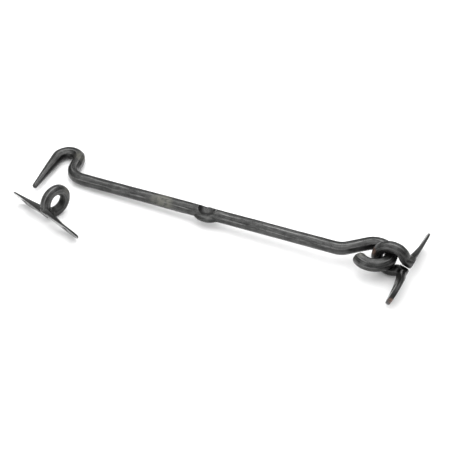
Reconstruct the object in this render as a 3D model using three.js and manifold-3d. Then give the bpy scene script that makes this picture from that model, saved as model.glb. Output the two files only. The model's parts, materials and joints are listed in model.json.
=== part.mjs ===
// A forged cabin hook laid on a bench: a hook bar with a thumb dimple, a fixing staple
// whose ring is linked through the hook's eye, and a loose catch staple for the hooked end.
//
// Millimetres, +Z up. The origin is the middle of the set's footprint on the bench.
// +X runs along the hook bar from its hooked end to its eye, and +Y is the side the crook is on.

import * as THREE from 'three';
import { mergeVertices } from 'three/addons/utils/BufferGeometryUtils.js';
import Module from 'manifold-3d';

const wasm = await Module();
wasm.setup();

const DEG = Math.PI / 180;

// Hook bar: the round bar, its eye, and the swan neck and crook at the other end
const BAR_RADIUS = 4;
const EYE_RADIUS = 9.9;
const EYE_END_ANGLE = 224 * DEG;
const EYE_JOIN_ANGLE = 130 * DEG;
const SHOULDER_LENGTH = 13.1;
const SHOULDER_RADIUS = 11;
const SHANK_LENGTH = 177;
const NECK_RADIUS = 12;
const NECK_TURN = 76.5 * DEG;
const NECK_LENGTH = 8.7;
const CROOK_RADIUS = 8;
const CROOK_TURN = 174 * DEG;
const TIP_LENGTH = 33;
const TIP_RADIUS = 1.75;
const TAPER_START = 0.88;
const EYE_END_DOME = 0.3;

// Thumb dimple, near the middle of the bar
const DIMPLE_FROM_EYE = 108;
const BOSS_HALF_LENGTH = 9.5;
const BOSS_HALF_WIDTH = 7;
const BOSS_HALF_HEIGHT = 2.8;
const DIMPLE_RADIUS = 7;
const DIMPLE_FLOOR = 0.2;

// Staples: round bar folded into a ring, its shanks bent out at the wall and drawn into leaves.
// The leaves lie along +Y and -Y, and a higher thinning draws more of one down to its tip's
// thickness. Spread is how far each shank sits towards its own leaf at the wall, and skew is
// how far the ring leans along +Y.
const FIXING = {
  bar: 3.5,
  ring: 8.3,
  standoff: 12.9,
  pinch: 39.5 * DEG,
  spread: 1.6,
  skew: 0.04,
  halfWidth: 8,
  leaves: [
    { length: 31, tip: 3.1, thinning: 2.2 },
    { length: 33, tip: 2.1, thinning: 2 },
  ],
};
const CATCH = {
  bar: 3.35,
  ring: 8.05,
  standoff: 11,
  pinch: 36 * DEG,
  spread: 1,
  skew: 0,
  halfWidth: 7.2,
  leaves: [
    { length: 29.4, tip: 1.6, thinning: 1.8 },
    { length: 31.8, tip: 1.5, thinning: 1.8 },
  ],
};
const THROAT_RADIUS = 3.5;
const LEAF_ROOT = 0.92;
const LEAF_WIDEST = 0.72;
const LEAF_THIN_BY = 0.87;
const LEAF_SETTLED = 0.5;
const LEAF_SETTLING = 1.5;
const LEAF_SQUARENESS = 4;
const BACK_TRIM = 0.3;
const WALL_DEPTH = 5;
const WALL_SPAN = 80;
const SCREW_HOLE_AT = 0.66;
const SCREW_HOLE_RADIUS = 2.3;
const COUNTERSINK_RADIUS = 3.5;
const COUNTERSINK_DEPTH = 1.2;
const DRILL_OVERSHOOT = 1;

// How the pieces lie on the bench, measured from the fixing staple's mounting face
const FIXING_YAW = 177 * DEG;
const FIXING_Y = 3.4;
const CATCH_YAW = 72.3 * DEG;
const CATCH_X = -224;
const CATCH_Y = -43.1;
const EYE_X = -22.2;
const EYE_Y = 3.4;
const LINK_GAP = 0.4;

// Facets
const BAR_SIDES = 16;
const RING_STEPS = 14;
const THROAT_STEPS = 4;
const LEAF_STEPS = 9;
const LEAF_END_STEPS = 5;
const LEAF_END_ANGLE = 80 * DEG;
const ARC_STEP = 12 * DEG;
const END_RINGS = [30 * DEG, 60 * DEG, 80 * DEG];
const HOLE_SIDES = 20;
const DIMPLE_SIDES = 28;

// ---------- solids ----------

function toSolid(geometry) {
  geometry.deleteAttribute('normal');
  geometry.deleteAttribute('uv');
  const merged = mergeVertices(geometry, 1e-4);
  return new wasm.Manifold(new wasm.Mesh({
    numProp: 3,
    vertProperties: new Float32Array(merged.attributes.position.array),
    triVerts: new Uint32Array(merged.index.array),
  }));
}

function toGeometry(solid) {
  const mesh = solid.getMesh();
  const geometry = new THREE.BufferGeometry();
  geometry.setAttribute('position', new THREE.BufferAttribute(mesh.vertProperties, 3));
  geometry.setIndex(new THREE.BufferAttribute(mesh.triVerts, 1));
  geometry.computeVertexNormals();
  return geometry;
}

// Joins rings of equal point counts into one closed skin, with a flat fan at each end.
function loft(rings) {
  const sides = rings[0].length;
  const positions = rings.flat().flatMap((point) => point.toArray());
  const index = [];
  for (let row = 0; row + 1 < rings.length; row += 1) {
    for (let side = 0; side < sides; side += 1) {
      const next = (side + 1) % sides;
      const a = row * sides + side;
      const b = row * sides + next;
      index.push(a, b, b + sides, a, b + sides, a + sides);
    }
  }
  for (const row of [0, rings.length - 1]) {
    const centre = new THREE.Vector3();
    rings[row].forEach((point) => centre.addScaledVector(point, 1 / sides));
    const hub = positions.length / 3;
    positions.push(...centre.toArray());
    for (let side = 0; side < sides; side += 1) {
      const a = row * sides + side;
      const b = row * sides + (side + 1) % sides;
      index.push(...(row === 0 ? [hub, b, a] : [hub, a, b]));
    }
  }
  const geometry = new THREE.BufferGeometry();
  geometry.setAttribute('position', new THREE.Float32BufferAttribute(positions, 3));
  geometry.setIndex(index);
  return geometry;
}

// One ring of points around a centre, in the plane of two unit vectors.
function circle(centre, across, up, radius) {
  return Array.from({ length: BAR_SIDES }, (_, side) => {
    const angle = (2 * Math.PI * side) / BAR_SIDES;
    return centre.clone()
      .addScaledVector(across, radius * Math.cos(angle))
      .addScaledVector(up, radius * Math.sin(angle));
  });
}

// ---------- hook bar ----------

// A flat centreline drawn with straights and arcs; a positive turn is to the left.
class Track {
  constructor(x, y, heading) {
    this.stations = [{ x, y, heading, run: 0 }];
  }

  get last() {
    return this.stations[this.stations.length - 1];
  }

  straight(length, steps) {
    const { x, y, heading, run } = this.last;
    for (let step = 1; step <= steps; step += 1) {
      const part = (length * step) / steps;
      this.stations.push({
        x: x + part * Math.cos(heading),
        y: y + part * Math.sin(heading),
        heading,
        run: run + part,
      });
    }
    return this;
  }

  arc(radius, turn) {
    const { x, y, heading, run } = this.last;
    const side = Math.sign(turn);
    const centreX = x - side * radius * Math.sin(heading);
    const centreY = y + side * radius * Math.cos(heading);
    const steps = Math.ceil(Math.abs(turn) / ARC_STEP);
    for (let step = 1; step <= steps; step += 1) {
      const angle = heading + (turn * step) / steps;
      this.stations.push({
        x: centreX + side * radius * Math.sin(angle),
        y: centreY - side * radius * Math.cos(angle),
        heading: angle,
        run: run + (radius * Math.abs(turn) * step) / steps,
      });
    }
    return this;
  }
}

// Sweeps a round bar along stations that carry their own radius.
function bar(stations) {
  const up = new THREE.Vector3(0, 0, 1);
  return toSolid(loft(stations.map(({ x, y, heading, radius }) => {
    const across = new THREE.Vector3(-Math.sin(heading), Math.cos(heading), 0);
    return circle(new THREE.Vector3(x, y, 0), across, up, radius);
  })));
}

// Adds the small rings that round off a bar's end; the dome is its height over the radius.
function roundEnd(stations, dome = 1) {
  const end = stations[stations.length - 1];
  const rings = END_RINGS.map((angle) => {
    const ahead = dome * end.radius * Math.sin(angle);
    return {
      ...end,
      x: end.x + ahead * Math.cos(end.heading),
      y: end.y + ahead * Math.sin(end.heading),
      radius: end.radius * Math.cos(angle),
    };
  });
  return [...stations, ...rings];
}

// The near half of the eye, from its right-hand side back to its open end at the bar.
function eyeEnd() {
  const track = new Track(EYE_RADIUS, 0, -Math.PI / 2);
  track.arc(EYE_RADIUS, EYE_END_ANGLE - 2 * Math.PI);
  const stations = track.stations.map((station) => ({ ...station, radius: BAR_RADIUS }));
  return bar(roundEnd(stations, EYE_END_DOME));
}

// The far half of the eye, the shoulder, the straight bar, the swan neck, the crook and the tip.
function shank() {
  const shoulderTurn = EYE_JOIN_ANGLE - Math.PI / 2;
  const track = new Track(EYE_RADIUS, 0, Math.PI / 2);
  track.arc(EYE_RADIUS, EYE_JOIN_ANGLE);
  track.straight(SHOULDER_LENGTH, 2);
  track.arc(SHOULDER_RADIUS, -shoulderTurn);
  track.straight(SHANK_LENGTH, 2);
  track.arc(NECK_RADIUS, -NECK_TURN);
  track.straight(NECK_LENGTH, 1);
  const crookStart = track.last.run;
  track.arc(CROOK_RADIUS, CROOK_TURN);
  track.straight(TIP_LENGTH, 4);
  const taperStart = crookStart + TAPER_START * CROOK_RADIUS * CROOK_TURN;
  const taperLength = track.last.run - taperStart;
  return bar(roundEnd(track.stations.map((station) => {
    const share = Math.max(0, (station.run - taperStart) / taperLength);
    return { ...station, radius: THREE.MathUtils.lerp(BAR_RADIUS, TIP_RADIUS, share) };
  })));
}

// A shallow oval swelling under the bar, pressed in from above with a ball.
function dimpled(solid) {
  const along = -DIMPLE_FROM_EYE;
  const across = barLine();
  const boss = new THREE.SphereGeometry(1, DIMPLE_SIDES, DIMPLE_SIDES / 2);
  boss.rotateX(Math.PI / 2);
  boss.scale(BOSS_HALF_LENGTH, BOSS_HALF_WIDTH, BOSS_HALF_HEIGHT);
  boss.translate(along, across, BOSS_HALF_HEIGHT - BAR_RADIUS);
  const ball = new THREE.SphereGeometry(DIMPLE_RADIUS, DIMPLE_SIDES, DIMPLE_SIDES / 2);
  ball.rotateX(Math.PI / 2);
  ball.translate(along, across, DIMPLE_RADIUS + DIMPLE_FLOOR);
  return solid.add(toSolid(boss)).subtract(toSolid(ball));
}

// Where the straight bar's line passes the eye's centre.
function barLine() {
  const shoulderTurn = EYE_JOIN_ANGLE - Math.PI / 2;
  return EYE_RADIUS * Math.cos(shoulderTurn) - SHOULDER_LENGTH * Math.sin(shoulderTurn)
    - SHOULDER_RADIUS * (1 - Math.cos(shoulderTurn));
}

function hookBar() {
  return dimpled(shank().add(eyeEnd()));
}

// ---------- staples ----------
// A staple's own frame: +X out of the wall, +Y along the leaves, the wall face at X = 0.

// How far each shank lies above or below the ring's middle.
function shankOffset({ ring, pinch }) {
  return ring * Math.sin(pinch) - THROAT_RADIUS * (1 - Math.sin(pinch));
}

// A section with rounded corners, square to the direction that a bar runs in.
function section({ centre, across, halfWidth, halfDepth, squareness }, travel) {
  const depth = new THREE.Vector3().crossVectors(travel, across).normalize();
  const width = new THREE.Vector3().crossVectors(depth, travel).normalize();
  const rounded = (value) => Math.sign(value) * Math.abs(value) ** (2 / squareness);
  return Array.from({ length: BAR_SIDES }, (_, side) => {
    const angle = (2 * Math.PI * (side + 0.5)) / BAR_SIDES;
    return centre.clone()
      .addScaledVector(width, halfWidth * rounded(Math.cos(angle)))
      .addScaledVector(depth, halfDepth * rounded(Math.sin(angle)));
  });
}

// One shank and half of the ring, from inside the wall to the ring's far point.
function halfRing(size, side) {
  const { bar: radius, ring, standoff, pinch, spread, skew } = size;
  const reach = standoff + ring;
  const station = (x, z, angle) => ({
    centre: new THREE.Vector3(x, (x - radius) * skew + side * spread * (1 - x / reach), -side * z),
    across: new THREE.Vector3(-Math.cos(angle), 0, -side * Math.sin(angle)),
    halfWidth: radius,
    halfDepth: radius,
    squareness: 2,
  });
  const path = [station(-radius, shankOffset(size), Math.PI / 2)];
  const throatX = standoff - (ring + THROAT_RADIUS) * Math.cos(pinch);
  const throatZ = (ring + THROAT_RADIUS) * Math.sin(pinch);
  for (let step = 0; step < THROAT_STEPS; step += 1) {
    const angle = Math.PI / 2 - ((Math.PI / 2 - pinch) * step) / THROAT_STEPS;
    const x = throatX + THROAT_RADIUS * Math.cos(angle);
    path.push(station(x, throatZ - THROAT_RADIUS * Math.sin(angle), angle));
  }
  for (let step = 0; step <= RING_STEPS; step += 1) {
    const angle = pinch + ((Math.PI - pinch) * step) / RING_STEPS;
    path.push(station(standoff - ring * Math.cos(angle), ring * Math.sin(angle), angle));
  }
  return path;
}

function ringBar(size) {
  const path = [...halfRing(size, -1), ...halfRing(size, 1).reverse().slice(1)];
  return toSolid(loft(path.map((station, index) => {
    const before = path[Math.max(0, index - 1)].centre;
    const after = path[Math.min(path.length - 1, index + 1)].centre;
    return section(station, new THREE.Vector3().subVectors(after, before).normalize());
  })));
}

// Half width and thickness of a leaf at a share of its length.
function leafSize(share, size, { tip, thinning }) {
  const root = LEAF_ROOT * size.bar;
  const widening = THREE.MathUtils.smoothstep(share, 0, LEAF_WIDEST);
  const pastWidest = Math.max(0, (share - LEAF_WIDEST) / (1 - LEAF_WIDEST));
  const halfWidth = THREE.MathUtils.lerp(root, size.halfWidth, widening)
    * Math.sqrt(1 - pastWidest ** 2);
  const thinned = 1 - (1 - Math.min(1, share / LEAF_THIN_BY)) ** thinning;
  return { halfWidth, thickness: THREE.MathUtils.lerp(2 * root, tip, thinned) };
}

// The leaf that a shank turns into at the wall: thick and round there, flat and wide further out.
function leaf(size, side) {
  const drawn = size.leaves[side > 0 ? 0 : 1];
  const start = size.spread / drawn.length;
  const shares = [];
  for (let step = 0; step < LEAF_STEPS; step += 1) {
    shares.push(THREE.MathUtils.lerp(start, LEAF_WIDEST, step / LEAF_STEPS));
  }
  for (let step = 0; step <= LEAF_END_STEPS; step += 1) {
    const bend = Math.sin((LEAF_END_ANGLE * step) / LEAF_END_STEPS);
    shares.push(THREE.MathUtils.lerp(LEAF_WIDEST, 1, bend));
  }
  return toSolid(loft(shares.map((share) => {
    const { halfWidth, thickness } = leafSize(share, size, drawn);
    const settled = Math.min(1, share / LEAF_SETTLED);
    const x = thickness / 2 - BACK_TRIM * settled;
    const z = -side * shankOffset(size) * (1 - settled) ** LEAF_SETTLING;
    const station = {
      centre: new THREE.Vector3(x, side * drawn.length * share, z),
      across: new THREE.Vector3(0, 0, -side),
      halfWidth,
      halfDepth: thickness / 2,
      squareness: THREE.MathUtils.lerp(2, LEAF_SQUARENESS, settled),
    };
    return section(station, new THREE.Vector3(0, side, 0));
  })));
}

// A countersunk screw hole, drilled through a leaf from its front.
function screwHole(size, side) {
  const drawn = size.leaves[side > 0 ? 0 : 1];
  const front = leafSize(SCREW_HOLE_AT, size, drawn).thickness - BACK_TRIM;
  const profile = [
    new THREE.Vector2(0, -DRILL_OVERSHOOT),
    new THREE.Vector2(SCREW_HOLE_RADIUS, -DRILL_OVERSHOOT),
    new THREE.Vector2(SCREW_HOLE_RADIUS, front - COUNTERSINK_DEPTH),
    new THREE.Vector2(COUNTERSINK_RADIUS, front),
    new THREE.Vector2(COUNTERSINK_RADIUS, front + DRILL_OVERSHOOT),
    new THREE.Vector2(0, front + DRILL_OVERSHOOT),
  ];
  const drill = new THREE.LatheGeometry(profile, HOLE_SIDES);
  drill.rotateZ(-Math.PI / 2);
  drill.translate(0, side * drawn.length * SCREW_HOLE_AT, 0);
  return toSolid(drill);
}

function staple(size) {
  const wall = new THREE.BoxGeometry(WALL_DEPTH, WALL_SPAN, WALL_SPAN);
  wall.translate(-WALL_DEPTH / 2, 0, 0);
  const bars = ringBar(size).add(leaf(size, 1)).add(leaf(size, -1));
  return bars.subtract(toSolid(wall)).subtract(screwHole(size, 1)).subtract(screwHole(size, -1));
}

// A loose staple lies on the rim of its ring and the long edges of its leaves.
function lean({ bar: radius, ring, standoff, halfWidth }) {
  const reach = Math.hypot(halfWidth, standoff);
  return Math.asin((ring + radius) / reach) - Math.atan2(halfWidth, standoff);
}

// ---------- the set ----------

function waxedSteel() {
  return new THREE.MeshStandardMaterial({ color: 0x4a4a4c, roughness: 0.45, metalness: 0.9 });
}

function named(name, solid) {
  const mesh = new THREE.Mesh(toGeometry(solid), waxedSteel());
  mesh.name = name;
  return mesh;
}

// Turns a staple by its yaw, tips its ring up, and sets it down on the bench.
function layStaple(name, size, x, y, yaw) {
  const mesh = named(name, staple(size));
  mesh.rotation.set(0, -lean(size), yaw, 'ZYX');
  mesh.position.set(x, y, 0);
  mesh.position.z = -new THREE.Box3().setFromObject(mesh, true).min.z;
  return mesh;
}

// The eye rests on the lower strand of the fixing staple's ring, and the crook on the bench.
function layHook() {
  const mesh = named('hook_bar', hookBar());
  const reach = -new THREE.Box3().setFromObject(mesh, true).min.x - BAR_RADIUS;
  const eyeZ = 2 * FIXING.bar + LINK_GAP + BAR_RADIUS;
  mesh.rotation.set(0, -Math.asin((eyeZ - BAR_RADIUS) / reach), 0);
  mesh.position.set(EYE_X, EYE_Y, eyeZ);
  return mesh;
}

const cabinHook = new THREE.Group();
cabinHook.add(layStaple('fixing_staple', FIXING, 0, FIXING_Y, FIXING_YAW));
cabinHook.add(layHook());
cabinHook.add(layStaple('catch_staple', CATCH, CATCH_X, CATCH_Y, CATCH_YAW));

// The origin is brought to the middle of the set's footprint.
const box = new THREE.Box3().setFromObject(cabinHook, true);
const middle = box.getCenter(new THREE.Vector3());
for (const piece of cabinHook.children) {
  piece.position.sub(new THREE.Vector3(middle.x, middle.y, box.min.z));
}

export default cabinHook;
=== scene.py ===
# Looks for a forged cabin hook: a hook bar and two ring staples in blackened, waxed steel.
# Lengths are in millimetres until a mesh is made, and each piece is drawn in its own frame.

import json
import math

import bpy
import numpy as np
from mathutils import Matrix, Vector, noise


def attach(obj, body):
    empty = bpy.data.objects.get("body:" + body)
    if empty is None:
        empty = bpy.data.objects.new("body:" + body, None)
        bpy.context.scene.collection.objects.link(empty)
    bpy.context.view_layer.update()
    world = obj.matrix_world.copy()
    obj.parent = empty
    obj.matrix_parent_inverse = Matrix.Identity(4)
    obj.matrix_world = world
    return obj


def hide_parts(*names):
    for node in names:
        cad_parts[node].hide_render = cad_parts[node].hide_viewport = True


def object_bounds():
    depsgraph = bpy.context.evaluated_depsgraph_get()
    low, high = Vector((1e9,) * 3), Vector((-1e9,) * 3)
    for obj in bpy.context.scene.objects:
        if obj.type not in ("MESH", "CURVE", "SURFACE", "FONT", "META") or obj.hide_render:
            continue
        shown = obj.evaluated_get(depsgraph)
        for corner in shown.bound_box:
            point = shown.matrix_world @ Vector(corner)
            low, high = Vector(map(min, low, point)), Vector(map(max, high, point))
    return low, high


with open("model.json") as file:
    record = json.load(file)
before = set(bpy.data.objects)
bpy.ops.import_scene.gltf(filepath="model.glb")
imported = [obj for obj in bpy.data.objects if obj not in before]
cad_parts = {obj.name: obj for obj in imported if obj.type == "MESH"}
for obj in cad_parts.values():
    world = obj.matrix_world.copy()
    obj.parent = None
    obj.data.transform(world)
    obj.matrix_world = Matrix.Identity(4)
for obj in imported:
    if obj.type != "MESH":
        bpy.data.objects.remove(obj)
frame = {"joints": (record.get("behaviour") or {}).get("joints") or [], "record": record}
cad_low, cad_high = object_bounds()
record = frame["record"]

MM = 0.001
DEG = math.pi / 180

# ---------- sizes ----------

BAR = 4.0
EYE = 9.9
EYE_END = 224 * DEG
EYE_JOIN = 130 * DEG
SHOULDER = 13.1
SHOULDER_BEND = 11.0
SHANK = 177.0
NECK_BEND = 12.0
NECK_TURN = 76.5 * DEG
NECK = 8.7
CROOK = 8.0
CROOK_TURN = 174 * DEG
TIP = 33.0
TIP_RADIUS = 1.75
TAPER_START = 0.88
EYE_END_DOME = 0.3

DIMPLE_AT = 108.0
BOSS = (9.5, 7.0, 2.8)
DIMPLE_RADIUS = 7.0
DIMPLE_FLOOR = 0.2

THROAT = 3.5
LEAF_ROOT = 0.92
LEAF_WIDEST = 0.72
LEAF_THIN_BY = 0.87
LEAF_SETTLED = 0.5
LEAF_SETTLING = 1.5
BACK_TRIM = 0.3
CORNER_FILLET = 1.2
CORNER_POWER = 5.0
HOLE_AT = 0.66
HOLE = 2.3
SINK = 3.5
SINK_DEPTH = 1.2
DRILL_OVERSHOOT = 1.0

# Leaves are (length, thickness at the tip, how fast they thin), along +Y and along -Y
SIZES = {
    "fixing_staple": dict(bar=3.5, ring=8.3, standoff=12.9, pinch=39.5 * DEG, spread=1.6, skew=0.04,
                          half_width=8.0, leaves=((31.0, 3.1, 2.2), (33.0, 2.1, 2.0))),
    "catch_staple": dict(bar=3.35, ring=8.05, standoff=11.0, pinch=36 * DEG, spread=1.0, skew=0.0,
                         half_width=7.2, leaves=((29.4, 1.6, 1.8), (31.8, 1.5, 1.8))),
}

# How finely the bars are drawn: points round a bar, then millimetres or rows along it
SIDES = 64
HOLE_SIDES = 56
STEP = 0.6
DIMPLE_STEP = 0.25
DIMPLE_MARGIN = 4.0
END_RINGS = np.array([25, 45, 62, 76, 86]) * DEG
LEAF_END_ANGLE = 86
LEAF_END_ROWS = 26
LEAF_ROWS = 44
CORNER_ROWS = 22
SHANK_ROWS = 6
THROAT_ROWS = 16
RING_ROWS = 60

# A section's squareness: an ellipse, and the settled flat of a leaf
ROUND = 2
SQUARED = 4

# How softly the dimple's surfaces meet, where its rim gets a painted highlight and where its end walls
# get painted shade, in millimetres.
# A point is on the bar's straight line when it is this near it.
ON_LINE = 0.01
BOSS_BLEND = 0.9
DISH_BLEND = 0.5
RIM_WIDTH = 0.45
END_WALL = (2.6, 4.8)
NO_DISH = 99.0

# The marks of the hammer. Flats run along the bar: how they are turned, how far and over what
# length they wander, and how deep they are, with how much that varies and over what length.
# Blows are (share of the radius, size).
FLATS = 8
CORNER_BAND = (0.62, 1.0)
HOOK_MARKS = dict(turned=32 * DEG, wander=0.25, wander_length=40, depth=0.7, varies=0.3,
                  depth_length=22, blows=((0.012, 7.0), (0.006, 2.6)))
STAPLE_MARKS = dict(turned=20 * DEG, wander=0.4, wander_length=16, depth=0.6, varies=0.3,
                    depth_length=16, blows=((0.016, 5.0), (0.008, 2.0)))
HOOK_SEEDS = (3, 5, 1, 2)
FIXING_SEED = 11
CATCH_SEED = 23
SEED_SHIFT = (17.3, -9.1, 4.7)

# The dimple was dressed last, so the marks nearly fade out there
CALM_MARGIN = 3
CALM_SHARE = 0.8
CALM_BAND = (0, 0.3)

# Where a staple counts as round bar, and where a leaf's rim gets painted shade and its back a painted
# reflection
ROUND_BAND = (0.6, 0.95)
RIM_BAND = (0.55, 0.8)
BACK_BAND = (0.78, 0.92)
SKEWED_WITHIN = 1.2
SHARP_ANGLE = 42 * DEG


# ---------- lofted bars ----------

def smoothstep(value, low=0.0, high=1.0):
    t = np.clip((value - low) / (high - low), 0, 1)
    return t * t * (3 - 2 * t)


def soft_min(a, b, blend):
    """The smaller of two fields, rounded where they meet."""
    h = np.clip(0.5 + 0.5 * (b - a) / blend, 0, 1)
    return b + (a - b) * h - blend * h * (1 - h)


class Path:
    """Stations along a bar: where its centre is, which way it runs and what lies across it."""

    def __init__(self, position, heading, step):
        self.position = np.array(position, float)
        self.heading = heading
        self.step = step
        self.run = 0.0
        self.stations = [(self.position.copy(), heading, 0.0)]

    def straight(self, length, step=None):
        count = max(1, round(length / (step or self.step)))
        start = self.position.copy()
        ahead = np.array([math.cos(self.heading), math.sin(self.heading)])
        for index in range(1, count + 1):
            part = length * index / count
            self.stations.append((start + ahead * part, self.heading, self.run + part))
        self.position = start + ahead * length
        self.run += length

    def arc(self, radius, turn):
        count = max(1, round(radius * abs(turn) / self.step))
        side = math.copysign(1, turn)
        sideways = np.array([-math.sin(self.heading), math.cos(self.heading)])
        centre = self.position + side * radius * sideways
        for index in range(1, count + 1):
            angle = self.heading + turn * index / count
            point = centre + side * radius * np.array([math.sin(angle), -math.cos(angle)])
            self.stations.append((point, angle, self.run + radius * abs(turn) * index / count))
        self.heading += turn
        self.position = self.stations[-1][0].copy()
        self.run += radius * abs(turn)


def skin(rings, name):
    """A closed mesh through rings of points, with a fan over each end."""
    rings = np.asarray(rings, float)
    rows, sides, _ = rings.shape
    points = rings.reshape(-1, 3)
    faces = []
    for row in range(rows - 1):
        for side in range(sides):
            a = row * sides + side
            b = row * sides + (side + 1) % sides
            faces.append((a, b, b + sides, a + sides))
    hubs = np.array([rings[0].mean(0), rings[-1].mean(0)])
    for hub, row in enumerate((0, rows - 1)):
        for side in range(sides):
            a = row * sides + side
            b = row * sides + (side + 1) % sides
            tip = len(points) + hub
            faces.append((tip, b, a) if hub == 0 else (tip, a, b))
    mesh = bpy.data.meshes.new(name)
    mesh.from_pydata(np.vstack([points, hubs]).tolist(), [], faces)
    mesh.validate()
    return mesh


def store(mesh, name, values):
    """Keeps one number per point for the material to read; the two end hubs repeat their rings."""
    values = np.asarray(values, float)
    flat = np.concatenate([values.ravel(), [values[0].mean(), values[-1].mean()]])
    layer = mesh.attributes.new(name, "FLOAT", "POINT")
    layer.data.foreach_set("value", flat.astype(np.float32))


def field(points, scale, seed):
    """Smooth noise between about -1 and 1 at every point, with features of the given size."""
    shift = Vector([seed * step for step in SEED_SHIFT])
    flat = np.asarray(points, float).reshape(-1, 3) / scale
    values = [noise.noise(Vector(point) + shift) for point in flat]
    return np.array(values).reshape(np.asarray(points).shape[:-1])


def facets(angles, count, phase):
    """How far a polygon's sides lie inside its corners' mean, as a share of the radius, and how
    near each point is to a corner."""
    wedge = 2 * math.pi / count
    local = np.mod(angles - phase, wedge) - wedge / 2
    polygon = math.cos(wedge / 2) / np.cos(local)
    near_corner = smoothstep(np.abs(local) / (wedge / 2), *CORNER_BAND)
    return polygon - (1 + math.cos(wedge / 2)) / 2, near_corner


def drift(run, length, seed):
    """Slow noise along a bar, the same all round it."""
    return field(np.column_stack([run / length, np.zeros((len(run), 2))]), 1.0, seed)[:, None]


def hammered(angles, run, plain, marks, seeds):
    """The hammer's flats and blows as shares of the radius, how near each point is to a corner
    between flats, and how deep the flats are."""
    wander_seed, depth_seed, *blow_seeds = seeds
    wander = marks["wander"] * drift(run, marks["wander_length"], wander_seed)
    depth = marks["depth"] + marks["varies"] * drift(run, marks["depth_length"], depth_seed)
    flats, corners = facets(angles + wander, FLATS, marks["turned"])
    (large, large_size), (small, small_size) = marks["blows"]
    blows = (large * field(plain, large_size, blow_seeds[0])
             + small * field(plain, small_size, blow_seeds[1]))
    return flats, blows, corners, depth


# ---------- hook bar ----------

def hook_path():
    """From the eye's open end, round the eye, along the bar and round the crook to the tip."""
    start = [EYE * math.cos(EYE_END), EYE * math.sin(EYE_END)]
    path = Path(start, EYE_END + math.pi / 2, STEP)
    path.arc(EYE, 2 * math.pi + EYE_JOIN - EYE_END)
    path.straight(SHOULDER)
    shoulder_turn = EYE_JOIN - math.pi / 2
    path.arc(SHOULDER_BEND, -shoulder_turn)
    line_y = path.position[1]
    to_dimple = DIMPLE_AT + path.position[0] - BOSS[0] - DIMPLE_MARGIN
    over_dimple = 2 * (BOSS[0] + DIMPLE_MARGIN)
    path.straight(to_dimple)
    path.straight(over_dimple, DIMPLE_STEP)
    path.straight(SHANK - to_dimple - over_dimple)
    path.arc(NECK_BEND, -NECK_TURN)
    path.straight(NECK)
    crook_start = path.run
    path.arc(CROOK, CROOK_TURN)
    path.straight(TIP)
    taper_start = crook_start + TAPER_START * CROOK * CROOK_TURN
    return path.stations, taper_start, line_y


def dimple(along, angles, radius):
    """The bar's radius where a wide low swelling joins it and a ball has been pressed into its top,
    how near each point is to the dish's rim (painted highlight), and how steep its end walls are
    (painted shade)."""
    cosine, sine = np.cos(angles), np.sin(angles)
    length, width, height = BOSS
    share = np.clip(1 - (along / length) ** 2, 0, None)
    drop = height - BAR
    a = cosine ** 2 / width ** 2 + sine ** 2 / height ** 2
    b = -2 * sine * drop / height ** 2
    c = drop ** 2 / height ** 2 - share
    inside = b * b - 4 * a * c
    boss = np.where(inside > 0, (-b + np.sqrt(np.maximum(inside, 0))) / (2 * a), 0)
    joined = -soft_min(-radius, -boss, BOSS_BLEND)
    centre = DIMPLE_RADIUS + DIMPLE_FLOOR
    reach = DIMPLE_RADIUS ** 2 - along ** 2
    under = centre ** 2 * sine ** 2 - (centre ** 2 - reach)
    dish = np.where((under > 0) & (sine > 0), centre * sine - np.sqrt(np.maximum(under, 0)), NO_DISH)
    pressed = dish < NO_DISH
    shape = np.where(pressed, soft_min(joined, dish, DISH_BLEND), joined)
    rim = np.where(pressed, np.exp(-((joined - dish) / RIM_WIDTH) ** 2), 0)
    wall = np.where(pressed & (dish < joined), smoothstep(np.abs(along), *END_WALL), 0)
    return shape, rim, wall


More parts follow.
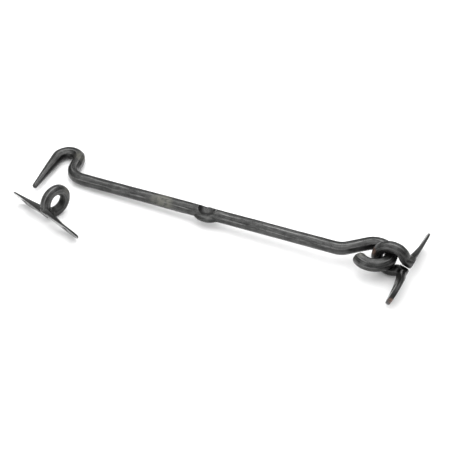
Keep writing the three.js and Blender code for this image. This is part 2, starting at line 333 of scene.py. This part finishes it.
def hook_mesh():
    stations, taper_start, line_y = hook_path()
    run = np.array([station[2] for station in stations])
    heading = np.array([station[1] for station in stations])
    centre = np.array([station[0] for station in stations])
    total = run[-1]
    radius = BAR + (TIP_RADIUS - BAR) * np.clip((run - taper_start) / (total - taper_start), 0, 1)

    # Rounded ends: more rings ahead of the last one and behind the first one
    ahead = np.array([math.cos(heading[-1]), math.sin(heading[-1])])
    back = -np.array([math.cos(heading[0]), math.sin(heading[0])])
    tip_run = TIP_RADIUS * np.sin(END_RINGS)
    butt_run = EYE_END_DOME * BAR * np.sin(END_RINGS)
    tip = centre[-1] + np.outer(tip_run, ahead)
    butt = centre[0] + np.outer(butt_run, back)
    centre = np.vstack([butt[::-1], centre, tip])
    ends = np.ones(len(END_RINGS))
    heading = np.concatenate([heading[0] * ends, heading, heading[-1] * ends])
    run = np.concatenate([-butt_run[::-1], run, total + tip_run])
    radius = np.concatenate([BAR * np.cos(END_RINGS)[::-1], radius, TIP_RADIUS * np.cos(END_RINGS)])

    angles = np.linspace(0, 2 * math.pi, SIDES, endpoint=False)[None, :]
    across = np.stack([-np.sin(heading), np.cos(heading), np.zeros_like(heading)], -1)
    up = np.array([0.0, 0.0, 1.0])
    middle = np.column_stack([centre, np.zeros(len(centre))])
    unit = across[:, None, :] * np.cos(angles)[..., None] + up * np.sin(angles)[..., None]
    plain = middle[:, None, :] + unit * radius[:, None, None]

    along = middle[:, 0][:, None] + DIMPLE_AT
    near_dimple = (np.abs(centre[:, 1] - line_y) < ON_LINE)[:, None]
    shaped = np.broadcast_to(radius[:, None], plain.shape[:2]).copy()
    dimpled, rim, wall = dimple(along, angles, shaped)
    shaped = np.where(near_dimple, dimpled, shaped)

    # Dressed with a hammer while hot: soft lengthwise flats that wander, and shallow blows
    flats, blows, corners, depth = hammered(angles, run, plain, HOOK_MARKS, HOOK_SEEDS)
    dimple_share = smoothstep(1 - np.abs(along) / (BOSS[0] + CALM_MARGIN), *CALM_BAND)
    calm = 1 - CALM_SHARE * dimple_share * near_dimple
    shaped = shaped * (1 + (flats * depth + blows) * calm)

    rings = middle[:, None, :] + unit * shaped[..., None]
    mesh = skin(rings, "hook_forging")
    store(mesh, "along", np.broadcast_to(run[:, None], plain.shape[:2]))
    store(mesh, "around", np.broadcast_to(angles, plain.shape[:2]))
    # The dimple's steep end walls, which get painted shade
    store(mesh, "wall_shade", wall * near_dimple)
    # The flats' corners, rubbed bright and given a painted highlight, and the dish's rim, given a
    # painted highlight
    store(mesh, "edge_wear_and_highlight", np.maximum(corners * np.clip(depth, 0, 1) * calm, rim * near_dimple))
    return mesh


# ---------- staples ----------
# A staple's own frame: +X out of the wall, +Y along the leaves, the wall face at X = 0.

def shank_offset(size):
    return size["ring"] * math.sin(size["pinch"]) - THROAT * (1 - math.sin(size["pinch"]))


def leaf_size(share, size, leaf):
    _, tip, thinning = leaf
    widening = smoothstep(share, 0, LEAF_WIDEST)
    past = np.clip((share - LEAF_WIDEST) / (1 - LEAF_WIDEST), 0, 1)
    root = LEAF_ROOT * size["bar"]
    width = (root + (size["half_width"] - root) * widening) * np.sqrt(1 - past ** 2)
    thinned = 1 - (1 - np.clip(share / LEAF_THIN_BY, 0, 1)) ** thinning
    return width, 2 * root + (tip - 2 * root) * thinned


def squareness(share):
    """How square a section is, from round bar at 0 to a settled leaf at 1."""
    return ROUND + (SQUARED - ROUND) * share


def half_staple(size, leaf):
    """From the end of the leaf along -Y, round the corner and up the shank to the ring's far point.
    Each row is centre, width axis, depth axis, half width, half depth and squareness."""
    length = leaf[0]
    bar, ring, standoff, pinch = size["bar"], size["ring"], size["standoff"], size["pinch"]
    spread, reach = size["spread"], standoff + ring
    offset = shank_offset(size)
    up = (0, 0, 1)
    rows = []

    start = (bar + CORNER_FILLET + spread) / length
    end_turns = np.linspace(LEAF_END_ANGLE, 0, LEAF_END_ROWS)[:-1] * DEG
    shares = np.concatenate([
        LEAF_WIDEST + (1 - LEAF_WIDEST) * np.sin(end_turns),
        np.linspace(LEAF_WIDEST, start, LEAF_ROWS)[:-1],
    ])
    for share in shares:
        width, thickness = leaf_size(share, size, leaf)
        settled = min(1.0, share / LEAF_SETTLED)
        rise = offset * (1 - settled) ** LEAF_SETTLING
        place = (thickness / 2 - BACK_TRIM * settled, -length * share, rise)
        rows.append((place, up, (1, 0, 0), width, thickness / 2, squareness(settled)))

    start_width, start_thickness = leaf_size(start, size, leaf)
    settled = start / LEAF_SETTLED
    pivot = np.array([start_thickness - BACK_TRIM * settled + CORNER_FILLET, -(bar + CORNER_FILLET), 0])
    start_z = offset * (1 - settled) ** LEAF_SETTLING
    for turn in np.linspace(0, math.pi / 2, CORNER_ROWS):
        share = turn / (math.pi / 2)
        full = start_thickness + (2 * bar - start_thickness) * share + CORNER_FILLET
        powers = math.cos(turn) ** CORNER_POWER + math.sin(turn) ** CORNER_POWER
        outer = full / powers ** (1 / CORNER_POWER)
        depth = (outer - CORNER_FILLET) / 2
        out = np.array([-math.cos(turn), math.sin(turn), 0])
        place = pivot + out * (CORNER_FILLET + depth)
        place[1] -= spread * (1 - share * place[0] / reach)
        place[2] = start_z + (offset - start_z) * share
        width = start_width + (bar - start_width) * share
        rows.append((place, up, -out, width, depth, squareness(settled * (1 - share))))

    throat_x = standoff - (ring + THROAT) * math.cos(pinch)
    throat_z = (ring + THROAT) * math.sin(pinch)
    bar_places = []
    for x in np.linspace(pivot[0], throat_x, SHANK_ROWS)[1:]:
        bar_places.append((x, offset, math.pi / 2))
    for angle in np.linspace(math.pi / 2, pinch, THROAT_ROWS)[1:]:
        x = throat_x + THROAT * math.cos(angle)
        bar_places.append((x, throat_z - THROAT * math.sin(angle), angle))
    for angle in np.linspace(pinch, math.pi, RING_ROWS)[1:]:
        bar_places.append((standoff - ring * math.cos(angle), ring * math.sin(angle), angle))
    for x, z, angle in bar_places:
        place = (x, -spread * (1 - x / reach), z)
        rows.append((place, (-math.cos(angle), 0, math.sin(angle)), (0, -1, 0), bar, bar, ROUND))
    return rows


def staple_rows(size):
    """Both halves as one bar; the second is the first turned half round about X and run backwards."""
    plus, minus = size["leaves"]
    rows = half_staple(size, minus)
    for place, width_axis, depth_axis, width, depth, square in reversed(half_staple(size, plus)[:-1]):
        turned = [np.array([x, -y, -z], float) for x, y, z in (place, width_axis, depth_axis)]
        rows.append((turned[0], turned[1], -turned[2], width, depth, square))
    return [np.array(column, float) for column in zip(*rows)]


def staple_mesh(name, size, seed):
    centre, width_axis, depth_axis, width, depth, square = staple_rows(size)
    bar = size["bar"]
    in_ring = np.abs(centre[:, 1]) < SKEWED_WITHIN * bar
    centre[:, 1] += size["skew"] * np.clip(centre[:, 0] - bar, 0, None) * in_ring
    angles = np.linspace(0, 2 * math.pi, SIDES, endpoint=False)[None, :]
    power = 2 / square[:, None]
    wide = np.sign(np.cos(angles)) * np.abs(np.cos(angles)) ** power * width[:, None]
    deep = np.sign(np.sin(angles)) * np.abs(np.sin(angles)) ** power * depth[:, None]
    offset = wide[..., None] * width_axis[:, None, :] + deep[..., None] * depth_axis[:, None, :]
    plain = centre[:, None, :] + offset

    steps = np.linalg.norm(np.diff(centre, axis=0), axis=1)
    run = np.concatenate([[0], np.cumsum(steps)])
    round_part = smoothstep(1 - np.abs(width / depth - 1), *ROUND_BAND)[:, None]
    flats, blows, corners, strength = hammered(angles, run, plain, STAPLE_MARKS, range(seed, seed + 4))
    strength = strength * round_part
    rings = centre[:, None, :] + offset * (1 + flats * strength + blows)[..., None]
    # The backs stay flat against the wall
    rings[..., 0] = np.maximum(rings[..., 0], 0)

    mesh = skin(rings, name)
    store(mesh, "along", np.broadcast_to(run[:, None], plain.shape[:2]))
    store(mesh, "around", np.broadcast_to(angles, plain.shape[:2]))
    # The flats' corners, rubbed bright and given a painted highlight
    store(mesh, "edge_wear_and_highlight", corners * np.clip(strength, 0, 1))
    # The leaf's rim, for painted shade, and its back, for a painted reflection
    store(mesh, "rim", (1 - round_part) * smoothstep(np.abs(np.cos(angles)), *RIM_BAND))
    store(mesh, "back", (1 - round_part) * smoothstep(-offset[..., 0] / depth[:, None], *BACK_BAND))
    return mesh


def drill_meshes(size):
    """A countersunk drill for each leaf, running a little past both faces."""
    turn = np.linspace(0, 2 * math.pi, HOLE_SIDES, endpoint=False)
    meshes = []
    for leaf, side in zip(size["leaves"], (1, -1)):
        front = leaf_size(HOLE_AT, size, leaf)[1] - BACK_TRIM
        middle = side * leaf[0] * HOLE_AT
        profile = [
            (HOLE, -DRILL_OVERSHOOT),
            (HOLE, front - SINK_DEPTH),
            (SINK, front),
            (SINK + DRILL_OVERSHOOT, front + DRILL_OVERSHOOT),
        ]
        rings = [
            [(x, middle + radius * math.cos(a), radius * math.sin(a)) for a in turn]
            for radius, x in profile
        ]
        meshes.append(skin(rings, "drill"))
    return meshes


# ---------- putting pieces in the frame ----------

def placed(mesh, name, matrix):
    """Makes an object from a mesh in millimetres, set in the frame, smooth between its sharp edges.
    Hammer marks that would stand proud of the part's box are flattened to it."""
    mesh.transform(Matrix.Scale(MM, 4))
    mesh.transform(matrix)
    points = np.zeros(len(mesh.vertices) * 3)
    mesh.vertices.foreach_get("co", points)
    points = np.clip(points.reshape(-1, 3), np.array(cad_low), np.array(cad_high))
    mesh.vertices.foreach_set("co", points.ravel())
    mesh.update()
    mesh.shade_smooth()
    mesh.set_sharp_from_angle(angle=SHARP_ANGLE)
    obj = bpy.data.objects.new(name, mesh)
    bpy.context.scene.collection.objects.link(obj)
    return obj


def frame_matrix(x_axis, z_axis, origin):
    x_axis = Vector(x_axis).normalized()
    z_axis = Vector(z_axis).normalized()
    y_axis = z_axis.cross(x_axis).normalized()
    z_axis = x_axis.cross(y_axis)
    matrix = Matrix((x_axis, y_axis, z_axis)).transposed().to_4x4()
    matrix.translation = Vector(origin)
    return matrix


def cut(obj, drills):
    """Drills holes with exact booleans and keeps the result."""
    for index, mesh in enumerate(drills):
        tool = bpy.data.objects.new(f"drill_{index}", mesh)
        bpy.context.scene.collection.objects.link(tool)
        modifier = obj.modifiers.new("hole", "BOOLEAN")
        modifier.operation = "DIFFERENCE"
        modifier.solver = "EXACT"
        modifier.object = tool
        bpy.context.view_layer.update()
        evaluated = obj.evaluated_get(bpy.context.evaluated_depsgraph_get())
        result = bpy.data.meshes.new_from_object(evaluated)
        obj.modifiers.remove(modifier)
        obj.data = result
        bpy.data.objects.remove(tool)


swing = next(joint for joint in frame["joints"] if joint["name"] == "hook_swing")


def make_hook():
    up = -Vector(swing["axis"])
    matrix = frame_matrix(Vector((0, 1, 0)).cross(up), up, swing["pos_m"])
    return placed(hook_mesh(), "hook_forging", matrix)


def make_staple(node, plus_mount, minus_mount, seed):
    size = SIZES[node]
    mounts = {mount["name"]: mount for mount in record["mounts"]}
    plus = Vector(mounts[plus_mount]["pos_m"])
    minus = Vector(mounts[minus_mount]["pos_m"])
    out = -Vector(mounts[plus_mount]["axis"])
    along = (plus - minus).normalized()
    plus_length, minus_length = (leaf[0] for leaf in size["leaves"])
    base = minus.lerp(plus, minus_length / (plus_length + minus_length))
    matrix = frame_matrix(out, out.cross(along), base)
    name = node + "_forging"
    mesh = staple_mesh(name, size, seed)
    obj = bpy.data.objects.new(name, mesh)
    bpy.context.scene.collection.objects.link(obj)
    cut(obj, drill_meshes(size))
    final = obj.data
    bpy.data.objects.remove(obj)
    final.name = name
    return placed(final, name, matrix)


hook = make_hook()
fixing = make_staple("fixing_staple", "fixing_plate_near", "fixing_plate_far", FIXING_SEED)
catch = make_staple("catch_staple", "catch_plate_far", "catch_plate_near", CATCH_SEED)


# ---------- material ----------

class Nodes:
    """Short calls for building the nodes of one material or of the world."""

    def __init__(self, owner):
        self.owner = owner
        owner.use_nodes = True
        self.tree = owner.node_tree
        self.tree.nodes.clear()

    def node(self, kind, inputs=None, **settings):
        made = self.tree.nodes.new(kind)
        for key, value in settings.items():
            setattr(made, key, value)
        for key, value in (inputs or {}).items():
            if isinstance(value, bpy.types.NodeSocket):
                self.tree.links.new(value, made.inputs[key])
            else:
                made.inputs[key].default_value = value
        return made

    def math(self, operation, a, b=0.0):
        return self.node("ShaderNodeMath", {0: a, 1: b}, operation=operation).outputs[0]

    def scaled(self, value, share):
        return self.math("MULTIPLY", value, share)

    def attribute(self, name):
        return self.node("ShaderNodeAttribute", attribute_name=name).outputs["Fac"]

    def noise(self, vector, scale, detail, roughness):
        made = self.node("ShaderNodeTexNoise", {"Vector": vector, "Scale": scale, "Detail": detail,
                                                "Roughness": roughness})
        return made.outputs["Fac"]

    def ramp(self, value, low, high):
        """0 below low, 1 above high, smooth between."""
        made = self.node("ShaderNodeMapRange", {"Value": value, "From Min": low, "From Max": high},
                         interpolation_type="SMOOTHSTEP")
        return made.outputs["Result"]

    def mix(self, share, a, b):
        made = self.node("ShaderNodeMix", data_type="RGBA")
        for key, value in ((0, share), (6, a), (7, b)):
            if isinstance(value, bpy.types.NodeSocket):
                self.tree.links.new(value, made.inputs[key])
            else:
                made.inputs[key].default_value = value if key == 0 else (*value, 1.0)
        return made.outputs[2]


# Linear colours: the finish at its darkest and palest, bare steel that doubles as painted highlight and
# reflection, painted shade for a leaf's rim, what shows through or lies on the finish, and painted
# shade for crowded places
BLACKENED = (0.011, 0.011, 0.011)
GREYED = (0.084, 0.0845, 0.083)
BARE_STEEL_AND_HIGHLIGHT = (0.2, 0.2, 0.197)
LEAF_RIM_SHADE = (0.02, 0.02, 0.02)
BARE_SCALE = (0.13, 0.129, 0.11)
RUST_BROWN = (0.27, 0.155, 0.11)
PAINTED_SHADE = (0.008, 0.008, 0.008)

# Noise: how often it repeats per millimetre, detail and roughness
FINE = (1.6, 5.0, 0.65)
MOTTLE = (0.32, 5.0, 0.6)
BROAD = (0.055, 2.0, 0.5)
PITS = (2.4, 3.0, 0.5)
STREAKS = (1.0, 5.0, 0.62)
STREAK_ALONG = 0.09
STREAK_AROUND = 5.2

# Where each noise or mixture of noises turns from none to full
MOTTLE_BAND = (0.34, 0.68)
STREAK_BAND = (0.36, 0.66)
BROAD_BAND = (0.35, 0.65)
GRAIN_BAND = (0.3, 0.7)
PIT_BAND = (0.33, 0.42)
SCUFF_BAND = (0.5, 0.8)
WORN_BAND = (0.48, 0.8)
RUST_BAND = (0.5, 0.8)

# Painted shade falls where little open sky is seen within this reach, in metres. The shares below also
# set the painted reflection on a leaf's back and the painted shade on its rim.
SHADE_REACH = 0.012
SHADE_SKY = (0.35, 0.97)
SKY_SAMPLES = 8
SHADE_SHARE = 0.9
BACK_REFLECTION_SHARE = 0.7
RIM_SHADE_SHARE = 0.85

SMOOTHEST = 0.25
GRAIN_ROUGH = 0.15
WORN_ROUGH = 0.2
BACK_POLISH = 0.16
BUMP = {"Strength": 0.6, "Distance": 0.00015}
FINISH = {"Metallic": 0.8, "Specular IOR Level": 0.5, "Coat Weight": 0.15, "Coat Roughness": 0.2}


def waxed_steel():
    n = Nodes(bpy.data.materials.new("waxed_steel"))
    here = n.node("ShaderNodeTexCoord").outputs["Object"]
    to_mm = (1 / MM, 1 / MM, 1 / MM)
    place = n.node("ShaderNodeVectorMath", {0: here, 1: to_mm}, operation="MULTIPLY").outputs[0]
    along = n.attribute("along")
    around = n.attribute("around")
    streak_at = n.node("ShaderNodeCombineXYZ", {
        0: n.scaled(along, STREAK_ALONG),
        1: n.scaled(n.math("COSINE", around), STREAK_AROUND),
        2: n.scaled(n.math("SINE", around), STREAK_AROUND),
    }).outputs[0]
    streaks = n.noise(streak_at, *STREAKS)
    fine = n.noise(place, *FINE)
    mottle = n.noise(place, *MOTTLE)
    broad = n.noise(place, *BROAD)
    worn = n.attribute("worn")
    rust = n.attribute("rust")
    edge_wear_and_highlight, wall_shade, rim, back = (n.attribute(name) for name in ("edge_wear_and_highlight", "wall_shade", "rim", "back"))

    # Blackened skin, darker and paler at random in mottles, streaks and broad patches
    tone = n.math("ADD", n.scaled(n.ramp(mottle, *MOTTLE_BAND), 0.4),
                  n.scaled(n.ramp(streaks, *STREAK_BAND), 0.6))
    tone = n.math("ADD", n.scaled(tone, 0.8), n.scaled(n.ramp(broad, *BROAD_BAND), 0.2))
    colour = n.mix(tone, BLACKENED, GREYED)

    # Steel rubbed bright along the corners of the flats, with a painted highlight there and on the
    # dimple's rim, and a painted reflection on the smoother backs of the leaves
    scuffed = n.ramp(n.math("ADD", streaks, n.scaled(fine, 0.3)), *SCUFF_BAND)
    colour = n.mix(n.scaled(edge_wear_and_highlight, scuffed), colour, BARE_STEEL_AND_HIGHLIGHT)
    colour = n.mix(n.scaled(back, BACK_REFLECTION_SHARE), colour, BARE_STEEL_AND_HIGHLIGHT)
    # Painted shade on the leaves' rims
    colour = n.mix(n.scaled(rim, RIM_SHADE_SHARE), colour, LEAF_RIM_SHADE)

    # Thin wax over bare scale, and rust where the wax has gone
    speckle = n.math("ADD", mottle, n.scaled(fine, 0.4))
    worn_here = n.scaled(worn, n.ramp(speckle, *WORN_BAND))
    colour = n.mix(worn_here, colour, BARE_SCALE)
    rust_here = n.scaled(rust, n.ramp(speckle, *RUST_BAND))
    colour = n.mix(rust_here, colour, RUST_BROWN)

    # Painted shade wherever two surfaces crowd together, and on the dimple's end walls
    sky = n.node("ShaderNodeAmbientOcclusion", {"Distance": SHADE_REACH},
                 samples=SKY_SAMPLES).outputs["AO"]
    shut_in = n.math("SUBTRACT", 1.0, n.ramp(sky, *SHADE_SKY))
    shade_here = n.math("MAXIMUM", n.scaled(shut_in, SHADE_SHARE), n.scaled(wall_shade, SHADE_SHARE))
    colour = n.mix(shade_here, colour, PAINTED_SHADE)

    # Rougher in its grain, wear and rust, smoother on the backs, with streaks and pits to the touch
    rough = n.math("ADD", SMOOTHEST, n.scaled(n.ramp(fine, *GRAIN_BAND), GRAIN_ROUGH))
    rough = n.math("ADD", rough, n.scaled(n.math("MAXIMUM", worn_here, rust_here), WORN_ROUGH))
    rough = n.math("SUBTRACT", rough, n.scaled(back, BACK_POLISH))
    height = n.math("ADD", n.scaled(streaks, 0.6), n.scaled(fine, 0.4))
    pits = n.ramp(n.noise(place, *PITS), *PIT_BAND)
    height = n.math("ADD", height, n.scaled(pits, 0.35))
    bump = n.node("ShaderNodeBump", {"Height": height, **BUMP}).outputs[0]
    shader = n.node("ShaderNodeBsdfPrincipled", {
        "Base Color": colour, "Roughness": rough, "Normal": bump, **FINISH,
    }).outputs[0]
    n.node("ShaderNodeOutputMaterial", {"Surface": shader})
    return n.owner


def spots(obj, name, places):
    """Stores how near each point is to any of some (place, radius in mm, strength) spots."""
    co = np.zeros(len(obj.data.vertices) * 3)
    obj.data.vertices.foreach_get("co", co)
    co = co.reshape(-1, 3)
    value = np.zeros(len(co))
    for place, radius, strength in places:
        far = np.linalg.norm(co - np.array(place), axis=1) / (radius * MM)
        value = np.maximum(value, strength * (1 - smoothstep(far, *SPOT_FADE)))
    layer = obj.data.attributes.new(name, "FLOAT", "POINT")
    layer.data.foreach_set("value", value.astype(np.float32))


# Where the finish has worn thin and where it has rusted: a place, a radius in mm and a strength.
# A spot fades out between these shares of its radius.
SPOT_FADE = (0.35, 1.0)
WORN = [
    ((-0.035, 0.006, 0.0085), 10.0, 0.9),
    ((-0.092, -0.0165, 0.0165), 5.0, 0.8),
    ((-0.110, 0.0275, 0.006), 7.0, 0.6),
    ((0.0965, 0.0065, 0.0125), 6.0, 0.8),
]
RUST = [
    ((0.1035, 0.0105, 0.0145), 3.6, 0.9),
    ((0.1245, -0.0188, 0.0085), 2.6, 0.6),
]

steel = waxed_steel()
for obj, body, node in ((hook, "hook", "hook_bar"), (fixing, "fixing_staple", "fixing_staple"),
                        (catch, "catch_staple", "catch_staple")):
    obj.data.materials.clear()
    obj.data.materials.append(steel)
    spots(obj, "worn", WORN)
    spots(obj, "rust", RUST)
    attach(obj, body)
    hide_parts(node)


# ---------- floor, light and camera ----------

FLOOR_HALF = 3.0
FLOOR_DROP = 0.0002
FLOOR_WHITE = (0.94, 0.94, 0.94, 1)
FLOOR_LIGHT = 1.25
WALLS_SEEN = 0.22
CEILING_SEEN = 1.45
CEILING_BAND = (0.25, 0.95)

# Soft lamps, aimed at the middle: name, place, width, length and power
LAMPS = [
    ("overhead", (0.0, 0.15, 1.1), 1.6, 1.6, 9.0),
    ("strip", (-0.15, 0.5, 0.7), 0.08, 0.4, 0.5),
    ("front", (-0.5, -1.0, 0.45), 0.6, 0.6, 2.6),
]

# The camera, and where it looks, measured from the hook's pivot
AZIMUTH = 24.97 * DEG
ELEVATION = 40.25 * DEG
DISTANCE = 0.58723
LENS = 73.2
SENSOR = 36
NEAREST = 0.01
LOOK_X = -0.09224
LOOK_Y = -0.00383


def area(name, place, width, length, power):
    light = bpy.data.lights.new(name, "AREA")
    light.shape = "RECTANGLE"
    light.size = width
    light.size_y = length
    light.energy = power
    obj = bpy.data.objects.new(name, light)
    bpy.context.scene.collection.objects.link(obj)
    obj.location = place
    obj.rotation_euler = (-Vector(place)).to_track_quat("-Z", "Y").to_euler()


def floor_material():
    n = Nodes(bpy.data.materials.new("floor"))
    settings = {"Base Color": FLOOR_WHITE, "Roughness": 0.9}
    shader = n.node("ShaderNodeBsdfPrincipled", settings).outputs[0]
    n.node("ShaderNodeOutputMaterial", {"Surface": shader})
    return n.owner


floor_mesh = bpy.data.meshes.new("floor")
square = ((-1, -1), (1, -1), (1, 1), (-1, 1))
floor_corners = [(x * FLOOR_HALF, y * FLOOR_HALF, -FLOOR_DROP) for x, y in square]
floor_mesh.from_pydata(floor_corners, [], [(0, 1, 2, 3)])
floor = bpy.data.objects.new("floor", floor_mesh)
bpy.context.scene.collection.objects.link(floor)
floor_mesh.materials.append(floor_material())


def studio_world():
    """Even white light for the floor; the metal sees a bright ceiling and darker walls in it."""
    n = Nodes(bpy.data.worlds.new("studio"))
    direction = n.node("ShaderNodeTexCoord").outputs["Generated"]
    height = n.node("ShaderNodeSeparateXYZ", {0: direction}).outputs["Z"]
    seen = n.math("ADD", WALLS_SEEN, n.scaled(n.ramp(height, *CEILING_BAND), CEILING_SEEN))
    mirrored = n.node("ShaderNodeLightPath").outputs["Is Glossy Ray"]
    change = n.math("SUBTRACT", seen, FLOOR_LIGHT)
    strength = n.math("ADD", FLOOR_LIGHT, n.scaled(mirrored, change))
    light = n.node("ShaderNodeBackground", {"Color": (1, 1, 1, 1), "Strength": strength}).outputs[0]
    n.node("ShaderNodeOutputWorld", {"Surface": light})
    return n.owner


bpy.context.scene.world = studio_world()

for lamp in LAMPS:
    area(*lamp)

camera_data = bpy.data.cameras.new("camera")
camera_data.sensor_width = SENSOR
camera_data.lens = LENS
camera_data.clip_start = NEAREST
camera = bpy.data.objects.new("camera", camera_data)
bpy.context.scene.collection.objects.link(camera)
pivot = swing["pos_m"]
middle = Vector((pivot[0] + LOOK_X, pivot[1] + LOOK_Y, 0))
camera.location = middle + DISTANCE * Vector((
    math.sin(AZIMUTH) * math.cos(ELEVATION),
    -math.cos(AZIMUTH) * math.cos(ELEVATION),
    math.sin(ELEVATION),
))
camera.rotation_euler = (middle - camera.location).to_track_quat("-Z", "Y").to_euler()
bpy.context.scene.camera = camera
bpy.context.scene.view_settings.view_transform = "Standard"
bpy.context.scene.view_settings.look = "None"
